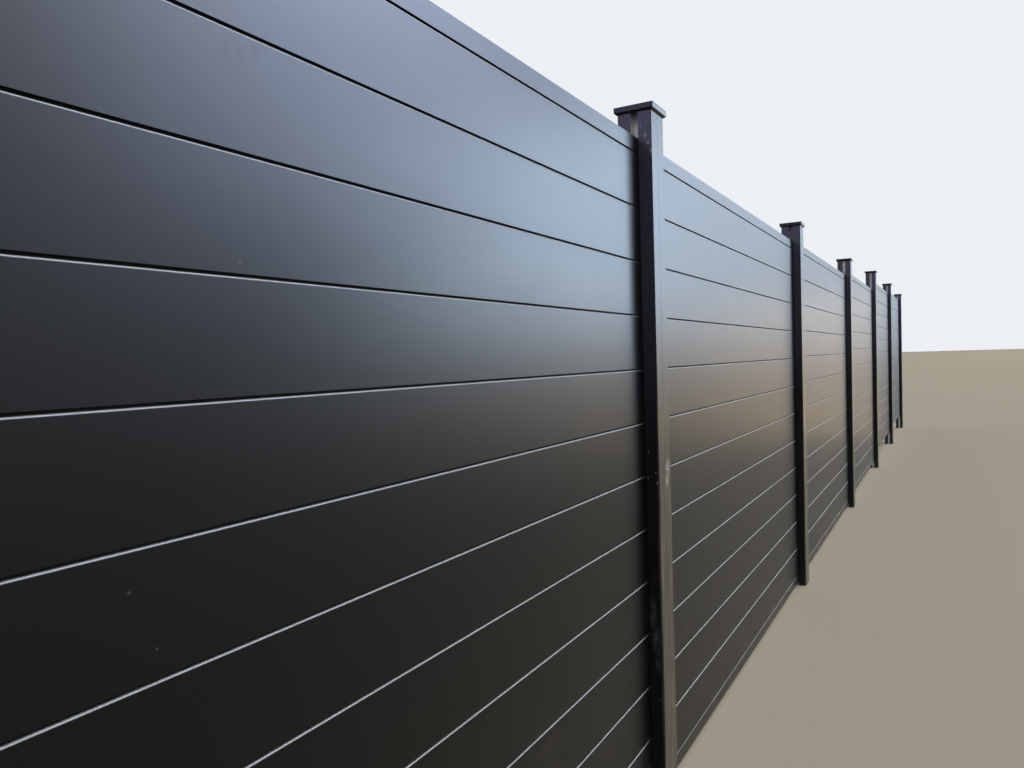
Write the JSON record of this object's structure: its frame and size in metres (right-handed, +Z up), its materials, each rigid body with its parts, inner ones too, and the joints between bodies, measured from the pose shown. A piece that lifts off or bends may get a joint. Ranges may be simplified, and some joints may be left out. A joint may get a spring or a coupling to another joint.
{
  "type": "aluminium slat fence run",
  "caption": "Straight run of black powder coated aluminium slat fence: hollow slats in slotted square posts, with rails and flat caps, its last bays stepped up a slope.",
  "frame": {"origin": "on the axis of the middle post, at its foot, which is ground level", "axes": "+X along the fence away from the picture's viewer, -Y out of the face that the picture shows, +Z up"},
  "size_m": [14.516, 0.116, 2.216],
  "materials": {
    "post_coat": "satin",
    "cap_coat": "satin",
    "slat_coat": "satin",
    "rail_coat": "satin",
    "filler_coat": "satin"
  },
  "bodies": {
    "root": {"post_1": "post_coat", "post_cap_1": "cap_coat", "post_2": "post_coat", "post_cap_2": "cap_coat", "post_3": "post_coat", "post_cap_3": "cap_coat", "post_4": "post_coat", "post_cap_4": "cap_coat", "post_5": "post_coat", "post_cap_5": "cap_coat", "post_6": "post_coat", "post_cap_6": "cap_coat", "post_7": "post_coat", "post_cap_7": "cap_coat", "slat_panel_1": "slat_coat", "top_rail_1": "rail_coat", "bottom_rail_1": "rail_coat", "slat_panel_2": "slat_coat", "top_rail_2": "rail_coat", "bottom_rail_2": "rail_coat", "slat_panel_3": "slat_coat", "top_rail_3": "rail_coat", "bottom_rail_3": "rail_coat", "slat_panel_4": "slat_coat", "top_rail_4": "rail_coat", "bottom_rail_4": "rail_coat", "slat_panel_5": "slat_coat", "top_rail_5": "rail_coat", "bottom_rail_5": "rail_coat", "slat_panel_6": "slat_coat", "top_rail_6": "rail_coat", "bottom_rail_6": "rail_coat", "slot_filler": "filler_coat"}
  },
  "joints": []
}
